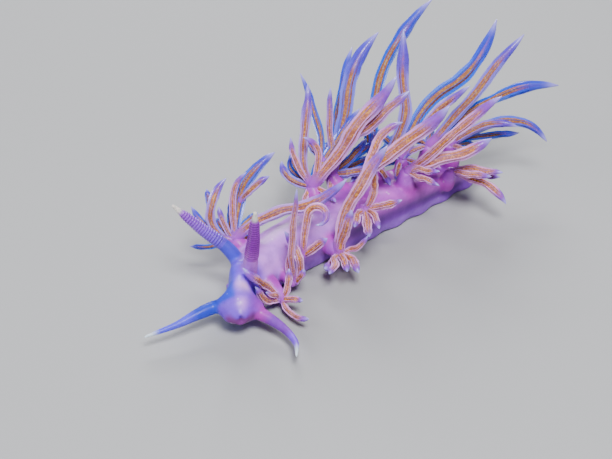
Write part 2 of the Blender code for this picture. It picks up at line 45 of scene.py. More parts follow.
VIEW_ROUND = math.radians(-38.5)
VIEW_ABOVE = math.radians(35.0)
RIGHT = np.array([math.cos(VIEW_ROUND), math.sin(VIEW_ROUND), 0.0])
NEARER = np.array([
    math.sin(VIEW_ROUND) * math.cos(VIEW_ABOVE),
    -math.cos(VIEW_ROUND) * math.cos(VIEW_ABOVE),
    math.sin(VIEW_ABOVE),
])
UPWARD = np.cross(NEARER, RIGHT)
VERTICAL = np.array([0.0, 0.0, 1.0])
LOOKED_AT = np.array([-8.3, -2.1, 5.7])
VIEW_DISTANCE = 204.0


def stood(name, data, right, up, back, spot):
    """A camera or lamp as an object at a spot, with its own X, Y and Z along the given directions."""
    item = bpy.data.objects.new(name, data)
    place = np.eye(4)
    place[:3] = np.column_stack([right, up, back, np.asarray(spot) * MM])
    item.matrix_world = Matrix(place.tolist())
    bpy.context.scene.collection.objects.link(item)
    return item


lens = bpy.data.cameras.new("camera")
lens.lens = 100.0
lens.sensor_width = 36.0
lens.clip_start = 0.01
camera_spot = LOOKED_AT + VIEW_DISTANCE * NEARER
bpy.context.scene.camera = stood("camera", lens, RIGHT, UPWARD, NEARER, camera_spot)

# Body: one long soft mass, round above and flat below, from the lips to the tail. Its outline is
# given at stations along the back: distance, x, y, height of the centre, half width, half height.
BODY = np.array([
    (0.0, -22.6, -8.1, 2.9, 1.0, 1.0),
    (0.7, -22.3, -7.5, 3.0, 1.7, 1.6),
    (1.6, -21.8, -6.8, 3.0, 2.1, 2.0),
    (2.8, -21.1, -5.8, 3.0, 1.85, 2.2),
    (4.4, -20.1, -4.5, 3.0, 1.45, 2.4),
    (6.5, -18.5, -3.1, 3.0, 1.75, 2.6),
    (9.0, -16.3, -1.9, 2.9, 2.4, 2.8),
    (13.5, -12.1, -0.5, 2.8, 3.0, 2.8),
    (19.0, -6.7, 0.0, 2.8, 3.1, 2.8),
    (27.0, 1.3, 0.1, 2.8, 3.0, 2.8),
    (32.5, 6.8, 0.0, 2.6, 2.7, 2.6),
    (38.5, 12.8, -0.2, 2.1, 2.0, 2.1),
    (43.0, 17.3, -0.4, 1.4, 1.2, 1.4),
    (46.0, 20.3, -0.6, 0.8, 0.6, 0.8),
    (47.5, 21.8, -0.7, 0.5, 0.3, 0.5),
])
BODY_LENGTH = BODY[-1, 0]
FOOT_START = 6.6
SOLE_DROP = 1.16
BACK_FULLNESS = 0.9
FLANK_FULLNESS = 0.7
SOLE_FULLNESS = 0.6
FOOT_MARGIN = 0.35
FOOT_MARGIN_HEIGHT = 0.6
FRILL_HEIGHT, FRILL_LENGTH, FRILL_RISE = 0.3, 4.3, (16.0, 24.0)
# The ridges on both sides of the back that the stalks rise from: angle from the top, width there,
# height, and the stations between which they rise and fall.
RIDGE_ANGLE, RIDGE_SPREAD, RIDGE_HEIGHT = 48.0, 26.0, 1.0
RIDGE_RISE, RIDGE_FALL = (16.0, 26.0), (40.0, 46.0)
# The rings lie closer together at the mouth, by this power.
BODY_RINGS, BODY_POINTS, CROWDING = 190, 72, 1.25
# Swellings of the head: station, angle from the top towards the right, height, width.
SWELLINGS = {
    "feeler_root_right": (2.2, 84, 0.85, 1.1),
    "feeler_root_left": (2.2, -98, 0.85, 1.1),
    "horn_root_right": (6.3, 24, 0.5, 1.0),
    "horn_root_left": (5.9, -20, 0.5, 1.0),
    "lip_right": (0.4, 105, 0.35, 0.7),
    "lip_left": (0.4, -105, 0.35, 0.7),
    "chin": (0.9, 180, -0.4, 0.6),
    "brow": (3.4, 0, 0.3, 1.3),
}
# The lips, from the first station in to the slit of the mouth: how far forward, and the shares of
# that station's width and height.
LIPS = (
    (0.0, 1.0, 1.0), (0.2, 0.9, 0.92), (0.3, 0.78, 0.8), (0.42, 0.62, 0.7), (0.4, 0.46, 0.62),
    (0.3, 0.3, 0.55), (0.12, 0.14, 0.46),
)
MOUTH_DEPTH = 0.4
TAIL_POINT = (0.2, 0.0, 0.0)


def rise(low, high, value):
    """0 below low, 1 above high, and 3s^2 - 2s^3 of the share s in between."""
    share = np.clip((np.asarray(value, float) - low) / (high - low), 0.0, 1.0)
    return share * share * (3.0 - 2.0 * share)


def bell(value, middle, width):
    """exp(-((value - middle) / width)^2)."""
    return np.exp(-((value - middle) / width) ** 2)


def unit(vectors):
    """Vectors divided by their lengths."""
    return vectors / np.linalg.norm(vectors, axis=-1, keepdims=True)


def hermite(run, given, at):
    """Values between given ones on cubic curves, whose slopes there are the neighbours' mean slopes."""
    slope = np.gradient(given, run, axis=0)
    at = np.clip(at, run[0], run[-1])
    k = np.clip(np.searchsorted(run, at, side="right") - 1, 0, len(run) - 2)
    span = (run[k + 1] - run[k])[..., None]
    t = (at - run[k])[..., None] / span
    return (
        (2 * t**3 - 3 * t**2 + 1) * given[k] + (t**3 - 2 * t**2 + t) * span * slope[k]
        + (3 * t**2 - 2 * t**3) * given[k + 1] + (t**3 - t**2) * span * slope[k + 1]
    )


def station(distance):
    """Centre, half width and half height of the body at distances from the mouth."""
    row = hermite(BODY[:, 0], BODY[:, 1:], np.asarray(distance, float))
    return row[..., :3], row[..., 3], row[..., 4]


def across(distance):
    """Unit vectors to the animal's right: the back's direction over 1.2 mm, turned a quarter round."""
    ahead = station(np.maximum(distance - 0.6, 0.0))[0]
    behind = station(np.minimum(distance + 0.6, BODY_LENGTH))[0]
    back = behind - ahead
    return unit(np.stack([-back[..., 1], back[..., 0], 0.0 * back[..., 0]], -1))


def beside(distance, angle, reach):
    """The point at an angle from the top, towards the right, and a reach from the body's centre line."""
    turn = np.radians(angle)
    return station(distance)[0] + reach * (np.sin(turn) * across(distance) + np.cos(turn) * VERTICAL)


def body_rings(distances, count):
    """Rings of points around the body.

    Each is an oval whose sine and cosine are raised to powers, lower below than above, so that it is
    round on top and boxy at the sole. A bell-shaped rim, which waves in and out at the rear,
    widens it close to the floor, and two bell-shaped ridges raise it beside the back.
    """
    centre, half_width, half_height = station(distances)
    turn = np.linspace(2.0 * math.pi, 0.0, count, endpoint=False)
    side, top = np.sin(turn)[None], np.cos(turn)[None]
    foot = rise(FOOT_START - 2.0, FOOT_START, distances)[:, None]
    below = top < 0.0
    flank = 1.0 + (FLANK_FULLNESS - 1.0) * foot
    sole = 1.0 + (SOLE_FULLNESS - 1.0) * foot
    wide = np.where(below, np.abs(side) ** flank, np.abs(side) ** BACK_FULLNESS)
    deep = np.where(below, np.abs(top) ** sole, np.abs(top))
    drop = np.where(below, 1.0 + (SOLE_DROP - 1.0) * foot, 1.0)
    x = half_width[:, None] * np.sign(side) * wide
    z = half_height[:, None] * np.sign(top) * deep * drop
    frill = np.sin(2.0 * math.pi * distances[:, None] / FRILL_LENGTH + np.sign(side)) * FRILL_HEIGHT
    margin = (FOOT_MARGIN + frill * rise(*FRILL_RISE, distances)[:, None]) * foot
    x = x + margin * side * bell(centre[:, 2:] + z, 0.0, FOOT_MARGIN_HEIGHT)
    ridge = RIDGE_HEIGHT * rise(*RIDGE_RISE, distances)
    ridge = ridge * (1.0 - rise(*RIDGE_FALL, distances))
    steep = np.degrees(np.arctan2(np.abs(x), z))
    out = 1.0 + (ridge / half_height)[:, None] * bell(steep, RIDGE_ANGLE, RIDGE_SPREAD)
    rings = centre[:, None] + (out * x)[..., None] * across(distances)[:, None]
    rings = rings + (out * z)[..., None] * VERTICAL
    rings[..., 2] = np.maximum(rings[..., 2], 0.0)
    return rings


def swollen(rings, distances):
    """Rings pushed away from the centre line by bell-shaped swellings."""
    out = unit(rings - station(distances)[0][:, None])
    push = np.zeros(rings.shape[:2])
    for where, angle, height, width in SWELLINGS.values():
        _, half_width, half_height = station(where)
        turn = math.radians(angle)
        spot = beside(where, angle, math.hypot(half_width * math.sin(turn), half_height * math.cos(turn)))
        push += height * np.exp(-(((rings - spot) / width) ** 2).sum(-1))
    return rings + push[..., None] * out


def tube_faces(count, rings, sides):
    """Corner numbers of closed tubes: quads between rings, and a fan to the pole at each end.

    A tube's points are its rings, one after another, then its first pole and its last.
    """
    i, j = np.indices((rings - 1, sides))
    k = (j + 1) % sides
    quads = np.stack([i * sides + j, i * sides + k, (i + 1) * sides + k, (i + 1) * sides + j], -1)
    j, k, last = np.arange(sides), (np.arange(sides) + 1) % sides, (rings - 1) * sides
    fans = np.concatenate([
        np.stack([k, j, np.full(sides, rings * sides)], -1),
        np.stack([last + j, last + k, np.full(sides, rings * sides + 1)], -1),
    ])
    start = (np.arange(count) * (rings * sides + 2))[:, None, None]
    return (quads.reshape(1, -1, 4) + start).reshape(-1, 4), (fans[None] + start).reshape(-1, 3)


def mesh_of(name, points, quads, triangles=np.empty((0, 3), int)):
    """A smooth-shaded mesh from arrays of points in millimetres and of the corners of its faces."""
    mesh = bpy.data.meshes.new(name)
    mesh.vertices.add(len(points))
    mesh.vertices.foreach_set("co", (np.asarray(points, float) * MM).ravel())
    corners = np.concatenate([quads.ravel(), triangles.ravel()])
    mesh.loops.add(len(corners))
    mesh.loops.foreach_set("vertex_index", corners.astype(np.int32))
    starts = np.concatenate([np.arange(len(quads)) * 4, quads.size + np.arange(len(triangles)) * 3])
    mesh.polygons.add(len(starts))
    mesh.polygons.foreach_set("loop_start", starts.astype(np.int32))
    mesh.update(calc_edges=True)
    mesh.shade_smooth()
    return mesh


def placed(name, mesh, material=None):
    """The mesh as an object of the scene, at the origin."""
    piece = bpy.data.objects.new(name, mesh)
    bpy.context.scene.collection.objects.link(piece)
    if material is not None:
        mesh.materials.append(material)
    return piece


def painted(mesh, name, colours):
    """Store a colour for each point of a mesh."""
    layer = mesh.attributes.new(name, "FLOAT_COLOR", "POINT")
    opaque = np.hstack([colours, np.ones((len(colours), 1))])
    layer.data.foreach_set("color", opaque.astype(np.float32).ravel())


distances = np.linspace(0.0, 1.0, BODY_RINGS) ** CROWDING * BODY_LENGTH
trunk = swollen(body_rings(distances, BODY_POINTS), distances)
first, half_width, half_height = station(0.0)
ahead = unit(first - station(1.0)[0])
turn = np.linspace(2.0 * math.pi, 0.0, BODY_POINTS, endpoint=False)
lips = np.array(LIPS[:0:-1])
face = (
    first + lips[:, 0, None, None] * ahead
    + (lips[:, 1, None] * half_width * np.sin(turn))[..., None] * across(0.0)
    + (lips[:, 2, None] * half_height * np.cos(turn))[..., None] * VERTICAL
)
poles = [first - MOUTH_DEPTH * ahead, station(BODY_LENGTH)[0] + TAIL_POINT]
body_shape = np.concatenate([face.reshape(-1, 3), trunk.reshape(-1, 3), poles])
body_faces = tube_faces(1, len(face) + BODY_RINGS, BODY_POINTS)

# Feelers: a pair beside the mouth that taper to fine tips, held out over the floor. For each, the
# points that its middle line runs through, and its radii from root to tip.
TENTACLES = {
    "oral_tentacle_right": (
        (
            (-21.4, -5.5, 3.0), (-23.3, -4.7, 2.9), (-26.0, -4.3, 2.7), (-28.4, -4.1, 2.4),
            (-32.6, -3.1, 1.9),
        ),
        (0.74, 0.8, 0.78, 0.6, 0.42, 0.33, 0.17),
    ),
    "oral_tentacle_left": (
        (
            (-21.0, -6.7, 2.8), (-19.9, -8.5, 2.3), (-19.1, -12.7, 1.6), (-19.5, -14.3, 1.6),
            (-21.1, -16.5, 1.8),
        ),
        (0.9, 0.74, 0.52, 0.4, 0.16),
    ),
}
RHINOPHORES = {
    "rhinophore_right": (
        ((-17.8, -1.7, 4.6), (-18.5, -0.6, 6.3), (-20.6, 1.9, 8.9), (-23.0, 4.3, 12.0)),
        (0.95, 0.85, 0.74, 0.66, 0.5, 0.18),
    ),
    "rhinophore_left": (
        ((-18.1, -3.75, 4.6), (-18.3, -4.3, 6.4), (-18.5, -5.3, 10.4), (-18.7, -6.0, 14.7)),
        (0.95, 0.9, 0.76, 0.65, 0.52, 0.2),
    ),
}
# How much of a horn's length is the skin's, and how far its end is drawn in.
RHINOPHORE_FREE, DRAWN_IN = 0.32, 0.8
FOOT_CORNERS = {"foot_corner_left": -1, "foot_corner_right": 1}
CORNER_STATION = FOOT_START + 1.6
CORNER_ROOT, CORNER_OUT, CORNER_BACK, CORNER_BEND = 1.6, 1.9, 1.9, 0.6
CORNER_RADII, CORNER_CLEAR = (0.42, 0.36, 0.2), 0.02
LINE_POINTS, LINE_SIDES = 48, 24


def through(points, count):
    """Evenly spaced points on a cubic curve through a few given ones."""
    given = np.asarray(points, float)
    run = np.concatenate([[0.0], np.cumsum(np.linalg.norm(np.diff(given, axis=0), axis=1))])
    return hermite(run, given, np.linspace(0.0, run[-1], count))


def spread(values, count):
    """Values read evenly from a short list."""
    return np.interp(np.linspace(0.0, 1.0, count), np.linspace(0.0, 1.0, len(values)), values)


def tube_rings(paths, radii, sides):
    """Rings square to each of several paths: the point plus its radius times a turning unit vector.

    The vector the turn starts from is carried along each path and made square to it again at every ring.
    """
    along = unit(np.gradient(paths, axis=1))
    steep = np.abs(along[:, 0, 2:]) > 0.9
    aside = np.cross(along[:, 0], np.where(steep, RIGHT, VERTICAL))
    turn = np.linspace(0.0, 2.0 * math.pi, sides, endpoint=False)[:, None]
    rings = np.empty((*paths.shape[:2], sides, 3))
    for i in range(paths.shape[1]):
        direction = along[:, i]
        aside = unit(aside - (aside * direction).sum(-1, keepdims=True) * direction)
        third = np.cross(direction, aside)
        out = np.cos(turn) * aside[:, None] + np.sin(turn) * third[:, None]
        rings[:, i] = paths[:, i, None] + radii[:, i, None, None] * out
    return rings


def tube_shape(paths, radii, sides, overshoot=0.6):
    """Points and faces of closed tubes whose ends are drawn in to poles a little beyond their paths."""
    rings = tube_rings(paths, radii, sides)
    first = paths[:, 0] - overshoot * radii[:, :1] * unit(paths[:, 1] - paths[:, 0])
    last = paths[:, -1] + overshoot * radii[:, -1:] * unit(paths[:, -1] - paths[:, -2])
    points = np.concatenate([rings.reshape(len(paths), -1, 3), first[:, None], last[:, None]], 1)
    return (points.reshape(-1, 3), *tube_faces(len(paths), paths.shape[1], sides))


limbs = {}
for name, (points, radii) in TENTACLES.items():
    limbs[name] = (through(points, LINE_POINTS), spread(radii, LINE_POINTS))
for name, (points, radii) in RHINOPHORES.items():
    kept = int(RHINOPHORE_FREE * LINE_POINTS) + 2
    path, radii = through(points, LINE_POINTS)[:kept], spread(radii, LINE_POINTS)[:kept]
    radii[-1] *= DRAWN_IN
    limbs[name] = (through(path, LINE_POINTS), spread(radii, LINE_POINTS))
for name, side in FOOT_CORNERS.items():
    root = beside(CORNER_STATION, 90 * side, CORNER_ROOT)
    out = side * across(CORNER_STATION)
    tip = root + CORNER_OUT * out + np.array([CORNER_BACK, 0.0, 0.0])
    path = through([root, root + CORNER_BEND * CORNER_OUT * out, tip], LINE_POINTS)
    radii = spread(CORNER_RADII, LINE_POINTS)
    path[:, 2] = radii + CORNER_CLEAR
    limbs[name] = (path, radii)

# Stalks: the cerata rise in clusters from short fleshy stalks on both flanks. For each cluster:
# station and angle of the stalk's root; station, angle and reach of its head; its radius; and its
# cerata. A ceras has its length, three headings in the plane of view (0 to the right, 90 up), its
# lean out of that plane towards the viewer, its radius, and the share of the row before at which
# it forks off, if it does.
CLUSTERS = {
    "cerata_right_1": (11.0, 66, 10.7, 56, 4.2, 0.85, (
        (7.0, (170, 140, 120), -10, 0.32), (5.8, (205, 186, 173), -15, 0.28),
        (9.6, (178, 88, 42), 4, 0.48), (3.4, (82, 100, 106), -5, 0.32, 0.45),
        (4.6, (132, 114, 100), 12, 0.32), (6.2, (120, 86, 83), -22, 0.28),
        (8.8, (92, 94, 37), 12, 0.34), (12.2, (91, 69, 34), -8, 0.6),
        (4.8, (57, 40, 26), 6, 0.38, 0.35), (15.8, (50, 8, 48), 12, 0.6),
        (6.5, (150, 130, 120), -55, 0.4), (7.5, (70, 50, 40), -55, 0.42),
        (6.0, (0, -10, 20), -50, 0.38),
    )),
    "cerata_right_2": (22.6, 50, 22.7, 40, 5.2, 0.9, (
        (5.3, (168, 150, 86), 0, 0.42), (5.3, (146, 140, 60), -14, 0.3),
        (6.8, (128, 116, 92), 14, 0.34), (12.8, (117, 80, 92), 4, 0.5),
        (15.4, (60, 104, 113), -14, 0.4), (7.6, (66, 84, 168), 24, 0.36),
        (17.6, (50, 51, 56), 20, 0.74), (10.4, (44, 38, 40), 12, 0.54, 0.36),
        (8.0, (140, 120, 110), -50, 0.46), (9.0, (60, 70, 80), -45, 0.46),
    )),
    "cerata_right_3": (26.8, 60, 26.2, 44, 5.6, 0.95, (
        (19.0, (74, 83, 46), 0, 0.74), (19.0, (83, 83, 72), -26, 0.44),
        (11.0, (92, 92, 86), 16, 0.36), (10.8, (66, 60, 58), 20, 0.54),
        (8.5, (100, 80, 70), -55, 0.5), (8.0, (30, 20, 40), -45, 0.46),
    )),
    "cerata_right_4": (32.4, 54, 32.0, 30, 4.8, 0.9, (
        (23.4, (98, 72, 41), -6, 0.6), (18.2, (34, 95, 88), 10, 0.64),
        (9.5, (110, 90, 80), -50, 0.5), (9.0, (60, 50, 60), -55, 0.48),
        (7.0, (20, 10, 30), -60, 0.42),
    )),
    "cerata_right_5": (35.6, 34, 35.4, 14, 4.7, 0.85, (
        (23.4, (79, 35, 74), -14, 0.72), (12.8, (66, 45, 34), 16, 0.5),
        (8.5, (100, 80, 70), -52, 0.46),
    )),
    "cerata_right_6": (39.4, 36, 39.0, 4, 5.9, 0.9, (
        (18.4, (46, 52, 48), 6, 0.6), (19.4, (44, 30, -4), -8, 0.63),
        (9.0, (80, 70, 70), -50, 0.48), (7.5, (20, 0, -10), -50, 0.42),
    )),
    "cerata_right_7": (43.0, 16, 42.4, 3, 5.4, 0.8, (
        (14.4, (36, 14, -58), -6, 0.54), (9.4, (38, 22, -24), 10, 0.44),
        (10.2, (26, 5, 6), -20, 0.4), (3.4, (-8, -33, -33), 24, 0.3),
        (6.5, (20, 0, -20), -52, 0.38),
    )),
    "cerata_left_1": (8.6, -96, 7.3, -110, 4.9, 0.75, (
        (7.2, (147, 133, 136), 34, 0.42), (4.8, (184, 159, 128), 34, 0.36),
        (2.8, (157, 152, 146), 40, 0.3), (4.0, (56, 80, 94), 18, 0.36),
        (3.2, (8, -2, -12), 40, 0.34), (5.8, (-75, -34, 10), 44, 0.32),
    )),
    "cerata_left_2": (11.9, -94, 11.4, -104, 4.8, 0.75, (
        (7.0, (50, 114, 124), 14, 0.42), (7.0, (128, 74, 90), 30, 0.38),
        (2.6, (50, 56, 60), 40, 0.34), (14.0, (102, 84, 84), 38, 0.34),
    )),
    "cerata_left_3": (14.6, -66, 14.6, -73, 4.3, 0.7, (
        (11.2, (92, 76, -188), 26, 0.42), (4.2, (40, 37, 34), 34, 0.44),
    )),
    "cerata_left_4": (20.0, -80, 19.7, -90, 5.2, 0.85, (
        (15.2, (88, 62, 52), 22, 0.7), (6.8, (76, 73, 72), 38, 0.54),
        (3.4, (-110, -124, -176), 40, 0.44), (4.4, (-104, -116, -126), 52, 0.36),
        (4.6, (-10, -50, -66), 42, 0.44), (4.2, (-30, -74, -82), 54, 0.36),
        (4.8, (-6, 34, 62), 24, 0.28),
    )),
    "cerata_left_5": (24.9, -60, 24.9, -49, 5.7, 0.8, (
        (4.2, (-82, -84, -86), 36, 0.5), (5.0, (8, 14, 20), 26, 0.42),
        (4.0, (-20, -64, -72), 42, 0.34), (3.2, (-138, -120, -112), 36, 0.38),
        (6.6, (48, 88, 99), 30, 0.42),
    )),
    "cerata_left_6": (28.2, -30, 27.5, -9, 5.5, 0.85, (
        (14.6, (48, 33, 46), 26, 0.7), (8.8, (74, 66, 14), 8, 0.45),
    )),
    "cerata_left_7": (33.6, -46, 33.3, -23, 5.4, 0.85, (
        (15.4, (33, 44, 33), 20, 0.56), (11.4, (26, 12, 36), 6, 0.66),
        (4.8, (10, -4, -2), 34, 0.34), (5.0, (-8, -30, -28), 30, 0.34),
    )),
    "cerata_left_8": (40.2, -66, 39.8, -40, 5.1, 0.7, (
        (6.8, (2, -4, -6), 24, 0.42), (6.2, (-8, -8, -7), 6, 0.38),
        (6.0, (-12, -10, -10), 38, 0.36), (8.4, (-14, -27, -62), 14, 0.46),
    )),
}
LINE = np.linspace(0.0, 1.0, 14)
CERAS_FATNESS = 1.28
CERAS_SWELL = ((0.0, 0.1, 0.35, 0.72, 0.88, 1.0), (0.8, 0.82, 1.0, 0.98, 0.68, 0.14))
CERAS_WANDER, WANDER_SEED = 0.06, 7
STALK_ROOT_REACH = 2.0
STALK_TAPER = (1.5, 1.55, 1.45, 1.25, 1.15, 1.1)
CLEAR, CLEAR_IN_CLUSTER = 0.42, 0.15
SETTLE_ROUNDS, DEPTH_FIRST, PUSH, PUSH_OFF = 80, 0.45, 0.35, 0.5
READINGS, PORTIONS = 90, 60
# Shares of the length: where a ceras begins to move and moves freely, and how much of it lies among
# its neighbours' roots.
FREE_FROM, FREE_TO, AMONG_ROOTS = 0.02, 0.45, 0.3


def laid_out(table):
    """Every ceras as a table gives it: cluster, middle line and radii.

    The heading turns evenly from one of the three to the next, and the line leans towards the viewer.
    """
    draw = np.random.default_rng(WANDER_SEED)
    step = (np.arange(len(LINE) - 1) + 0.5) / (len(LINE) - 1)
    clusters, paths, radii = [], [], []
    for name, (_, _, where, angle, reach, _, rows) in table.items():
        for row in rows:
            length, headings, lean, radius = row[:4]
            start = beside(where, angle, reach)
            if len(row) > 4:
                start = paths[-1][int(round(row[4] * (len(LINE) - 1)))]
            turn = np.radians(np.interp(step, (0.0, 0.5, 1.0), headings))[:, None]
            lean = math.radians(lean)
            steps = math.cos(lean) * (np.cos(turn) * RIGHT + np.sin(turn) * UPWARD)
            steps = steps + math.sin(lean) * NEARER
            clusters.append(name)
            paths.append(np.vstack([start, start + np.cumsum(steps * length / (len(LINE) - 1), 0)]))
            wander = 1.0 + CERAS_WANDER * draw.standard_normal(len(LINE))
            radii.append(CERAS_FATNESS * radius * np.interp(LINE, *CERAS_SWELL) * wander)
    return clusters, np.array(paths), np.array(radii)


def nearest_station(points, distances):
    """For points: number of the nearest station, offset from its centre and how much of it is to
    the right, half width and half height there. Done in portions, which saves memory.
    """
    centres, half_width, half_height = station(distances)
    nearest = np.concatenate([
        ((part[:, None] - centres) ** 2).sum(-1).argmin(1) for part in np.array_split(points, PORTIONS)
    ])
    offset = points - centres[nearest]
    side = (offset * across(distances)[nearest]).sum(1)
    return nearest, offset, side, half_width[nearest], half_height[nearest]


def pushed_off_body(points, radii):
    """How far each point has to move to clear the body's oval at the nearest station."""
    _, offset, side, wide, high = nearest_station(points, np.linspace(0.5, BODY_LENGTH, READINGS))
    fill = np.hypot(side / (wide + radii + CLEAR), offset[:, 2] / (high + radii + CLEAR))
    return offset * np.clip(1.0 / np.maximum(fill, 0.05) - 1.0, 0.0, 1.0)[:, None]


def settled(clusters, paths, radii, fixed):
    """Bend the cerata clear of one another, of the body, of the feelers and of the floor.

    Each round moves every point away from what is too near it, more the further it is from its
    root and more in depth than in the plane of view, and smooths the moves along each ceras.
    """
    count, length = paths.shape[:2]
    fixed_points = np.vstack([path for _, path, _ in fixed])
    owner = np.array([*np.repeat(clusters, length), *(name for name, path, _ in fixed for _ in path)])
    line = np.concatenate([np.repeat(np.arange(count), length), np.full(len(fixed_points), -1)])
    size = np.concatenate([radii.reshape(-1), *[thick for _, _, thick in fixed]])
    share = np.tile(LINE, count)
    freedom = rise(FREE_FROM, FREE_TO, share)
    same = owner[:, None] == owner[None, :]
    root = np.concatenate([share, np.zeros(len(fixed_points))]) < AMONG_ROOTS
    wanted = size[:, None] + size[None, :] + np.where(same, CLEAR_IN_CLUSTER, CLEAR)
    wanted[same & (root[:, None] | root[None, :])] = 0.0
    wanted[line[:, None] == line[None, :]] = 0.0
    now = paths.reshape(-1, 3)
    size, wanted = size[:len(now)], wanted[:len(now)]
    for _ in range(SETTLE_ROUNDS):
        between = now[:, None, :] - np.vstack([now, fixed_points])[None]
        apart = np.maximum(np.linalg.norm(between, axis=-1), 1e-3)
        move = PUSH * (between * (np.clip(wanted - apart, 0.0, None) / apart)[..., None]).sum(1)
        depth = (move @ NEARER)[:, None] * NEARER
        move = depth + DEPTH_FIRST * (move - depth) + PUSH_OFF * pushed_off_body(now, size)
        move[:, 2] += PUSH_OFF * np.clip(size + CLEAR - now[:, 2], 0.0, None)
        move = (move * freedom[:, None]).reshape(count, length, 3)
        for _ in range(3):
            move[:, 1:-1] = 0.25 * move[:, :-2] + 0.5 * move[:, 1:-1] + 0.25 * move[:, 2:]
            move[:, -1] = 0.5 * move[:, -1] + 0.5 * move[:, -2]
        now = now + move.reshape(-1, 3)
    return now.reshape(count, length, 3)


# Young cerata between the grown ones, given in the same way. They stay where they are laid out.
YOUNG_CERATA = {
    "cerata_right_2": (
        (4.0, (-15, -30, -55), 25, 0.34), (3.2, (230, 250, 265), 30, 0.32),
        (11.8, (66, 58, 52), -12, 0.46), (3.8, (128, 130, 134), -12, 0.46, 0.3),
    ),
    "cerata_right_3": (
        (8.9, (58, 65, 72), 0, 0.42), (6.4, (36, 44, 60), -5, 0.44),
        (7.4, (42, 36, 34), -18, 0.46), (5.4, (4, 8, 18), 8, 0.5),
        (4.4, (200, 215, 235), 20, 0.36), (4.0, (262, 275, 295), 28, 0.34),
    ),
    "cerata_right_4": (
        (4.4, (84, 92, 110), 5, 0.38), (4.2, (195, 215, 240), 22, 0.36),
        (3.6, (-40, -55, -70), 25, 0.32), (6.8, (108, 98, 88), -14, 0.46),
    ),
    "cerata_right_5": (
        (3.8, (150, 165, 190), 15, 0.34), (3.4, (240, 255, 270), 28, 0.32),
        (5.2, (122, 132, 138), -8, 0.44), (4.2, (98, 84, 70), 8, 0.4),
        (3.8, (-12, -22, -36), 14, 0.36),
    ),
    "cerata_right_6": (
        (4.0, (185, 205, 235), 18, 0.34), (4.8, (146, 158, 168), 4, 0.42),
    ),
}
# A stalk is slimmer at its top, by these shares of its radius at each point of its line.
STALK_END = np.interp(np.linspace(0.0, 1.0, LINE_POINTS), (0.0, 0.75, 1.0), (1.0, 1.0, 0.86))
# What the cerata bend clear of, with the number of points along each and the height of its collars.
BARRIERS = ((TENTACLES, 15, 0.0), (RHINOPHORES, 24, 0.07))
stalks = {}
for name, (root_at, root_angle, head_at, head_angle, reach, radius, _) in CLUSTERS.items():
    root, head = beside(root_at, root_angle, STALK_ROOT_REACH), beside(head_at, head_angle, reach)
    path = through([root, 0.5 * (root + head), head], len(STALK_TAPER))
    stalks[name] = (path, radius * np.array(STALK_TAPER))
fixed = [
    (name, through(points, count), spread(radii, count) + collar)
    for table, count, collar in BARRIERS for name, (points, radii) in table.items()
]
fixed += [(name, path[::8], radii[::8]) for name, (path, radii) in limbs.items() if name in FOOT_CORNERS]
fixed += [(name, path, radii) for name, (path, radii) in stalks.items()]
clusters, lines, line_radii = laid_out(CLUSTERS)
lines = settled(clusters, lines, line_radii, fixed)
young_table = {name: (*CLUSTERS[name][:-1], rows) for name, rows in YOUNG_CERATA.items()}
young, young_lines, young_radii = laid_out(young_table)
clusters = clusters + young
lines, line_radii = np.concatenate([lines, young_lines]), np.concatenate([line_radii, young_radii])
for name, (path, radii) in stalks.items():
    limbs[name] = (through(path, LINE_POINTS), spread(radii, LINE_POINTS) * STALK_END)

# Skin: head, trunk, tail, foot, feelers, horn roots and stalks are one wet, half-clear skin. The
# shapes above are made one by a fine remesh, and each joint is worn into a soft hollow.
VOXEL = 0.14
EVEN_PASSES, HOLLOW_PASSES = 6, 60
HOLLOW_WIDTH, FINE_READINGS = 0.55, 400
PALE_LILAC = np.array([0.66, 0.26, 1.0])
PINK = np.array([0.50, 0.03, 0.56])
MAGENTA = np.array([0.22, 0.008, 0.34])
VIOLET = np.array([0.22, 0.035, 0.52])
# Painted shade, for a band along the flanks.
SHADE_VIOLET = np.array([0.13, 0.012, 0.28])
# The next two are painted blue backlight, on the right of the head, the right feeler and the right horn's
# root.
BACKLIGHT_BLUE = np.array([0.010, 0.045, 0.68])
BACKLIGHT_BLUE_LILAC = np.array([0.08, 0.075, 0.92])
LILAC = np.array([0.21, 0.06, 0.85])
MARGIN = np.array([0.38, 0.13, 0.80])
# A painted highlight, for the brow.
BROW_HIGHLIGHT = np.array([0.85, 0.45, 1.0])
CERAS_ROOT = np.array([0.50, 0.08, 0.72])
LIP = np.array([0.20, 0.03, 0.19])
TIP_WHITE = np.array([0.66, 0.80, 0.92])
DOT, SKIN_SHADES = (0.80, 0.72, 0.92), ((0.82, 0.78, 0.86), (1.1, 1.08, 1.06))


